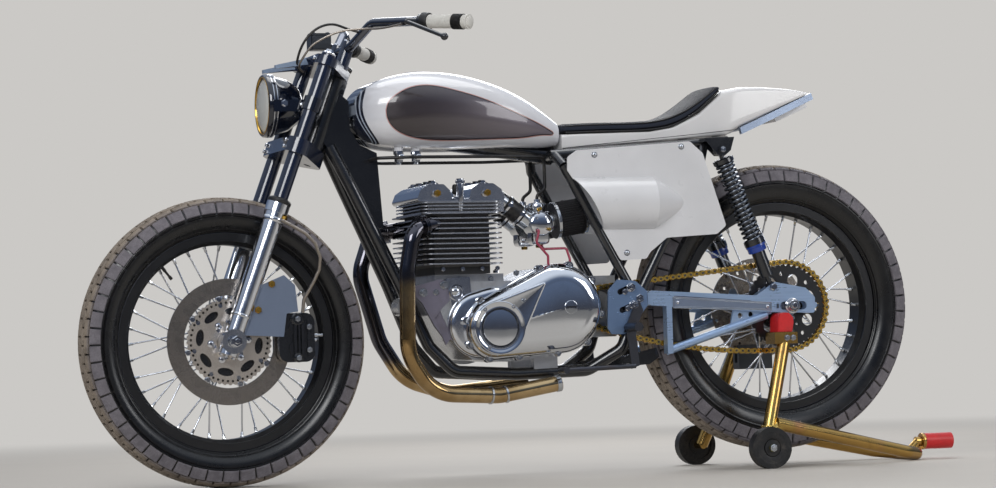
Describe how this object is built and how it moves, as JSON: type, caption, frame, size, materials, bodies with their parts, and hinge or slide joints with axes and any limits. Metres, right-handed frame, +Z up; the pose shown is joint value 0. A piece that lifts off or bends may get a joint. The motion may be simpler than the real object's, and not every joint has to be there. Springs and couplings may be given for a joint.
{
  "type": "flat track motorcycle on a paddock stand",
  "caption": "Flat track motorcycle with an air-cooled twin engine, held upright by a rear paddock stand; steering and wheels turn.",
  "frame": {"origin": "middle of the footprint on the floor", "axes": "+X towards the tail, +Y towards the rider's right, +Z up"},
  "size_m": [2.2258, 0.8428, 1.096],
  "materials": {
    "tyre": "dull",
    "rim_black": "gloss",
    "spoke_steel": "bright",
    "disc_steel": "brushed",
    "sprocket_black": "satin",
    "alloy": "polished",
    "fork_dark": "bright",
    "steel": "satin",
    "black_metal": "gloss",
    "grip_white": "dull",
    "lamp_glass": "clear",
    "frame_black": "gloss",
    "engine_alloy": "cast",
    "polished_alloy": "polished",
    "filter": "pleated",
    "chrome": "bright",
    "paint_white": "gloss",
    "brass": "satin",
    "seat_black": "matt",
    "gold_chain": "bright",
    "gold_plate": "bright",
    "red_plastic": "satin",
    "wheel_black": "satin",
    "hose": "satin",
    "fuel_red": "satin"
  },
  "bodies": {
    "chassis": {"frame": "frame_black", "rear_frame": "frame_black", "engine_cases": "engine_alloy", "primary_cover": "polished_alloy", "cylinder_block": "engine_alloy", "cylinder_head": "engine_alloy", "carburettors": "engine_alloy", "air_filters": "filter", "exhaust_left": "chrome", "exhaust_right": "chrome", "fuel_tank": "paint_white", "fuel_taps": "brass", "seat_base": "paint_white", "seat_pad": "seat_black", "tail_loop": "steel", "tail_lamp": "paint_white", "engine_plates": "black_metal", "side_plates": "paint_white", "swingarm": "alloy", "shock_dampers": "black_metal", "shock_springs": "chrome", "chain": "gold_chain", "rear_axle": "steel", "rear_caliper": "black_metal", "footpegs": "black_metal", "stand_frame": "gold_plate", "stand_pads": "red_plastic", "stand_handle": "red_plastic", "control_cables": "hose", "drain_hoses": "fuel_red"},
    "steering": {"lower_yoke": "alloy", "top_yoke": "alloy", "fork_tubes": "fork_dark", "fork_sliders": "alloy", "front_axle": "steel", "handlebar": "black_metal", "grips": "grip_white", "levers": "alloy", "headlamp_shell": "black_metal", "headlamp_lens": "lamp_glass", "lamp_brackets": "black_metal", "front_caliper": "black_metal", "caliper_bracket": "alloy", "brake_hose": "hose"},
    "front_wheel": {"front_tyre": "tyre", "front_rim": "rim_black", "front_hub": "spoke_steel", "front_disc": "disc_steel"},
    "rear_wheel": {"rear_tyre": "tyre", "rear_rim": "rim_black", "rear_hub": "spoke_steel", "rear_sprocket": "sprocket_black", "rear_disc": "disc_steel"},
    "stand_roller_left": {"stand_wheel_left": "wheel_black"},
    "stand_roller_right": {"stand_wheel_right": "wheel_black"}
  },
  "joints": [
    {"name": "steer", "type": "hinge", "parent": "chassis", "child": "steering", "pos_m": [-0.50736, 0, 0.87855], "axis": [0.3518, 0, 0.9361], "range_deg": [-30, 30]},
    {"name": "front_wheel_spin", "type": "hinge", "parent": "steering", "child": "front_wheel", "pos_m": [-0.771, 0, 0.342], "axis": [0, 1, 0], "continuous": true},
    {"name": "rear_wheel_spin", "type": "hinge", "parent": "chassis", "child": "rear_wheel", "pos_m": [0.631, 0, 0.393], "axis": [0, 1, 0], "continuous": true},
    {"name": "stand_left_spin", "type": "hinge", "parent": "chassis", "child": "stand_roller_left", "pos_m": [0.514, -0.245, 0.05], "axis": [0, 1, 0], "continuous": true},
    {"name": "stand_right_spin", "type": "hinge", "parent": "chassis", "child": "stand_roller_right", "pos_m": [0.514, 0.245, 0.05], "axis": [0, 1, 0], "continuous": true}
  ]
}
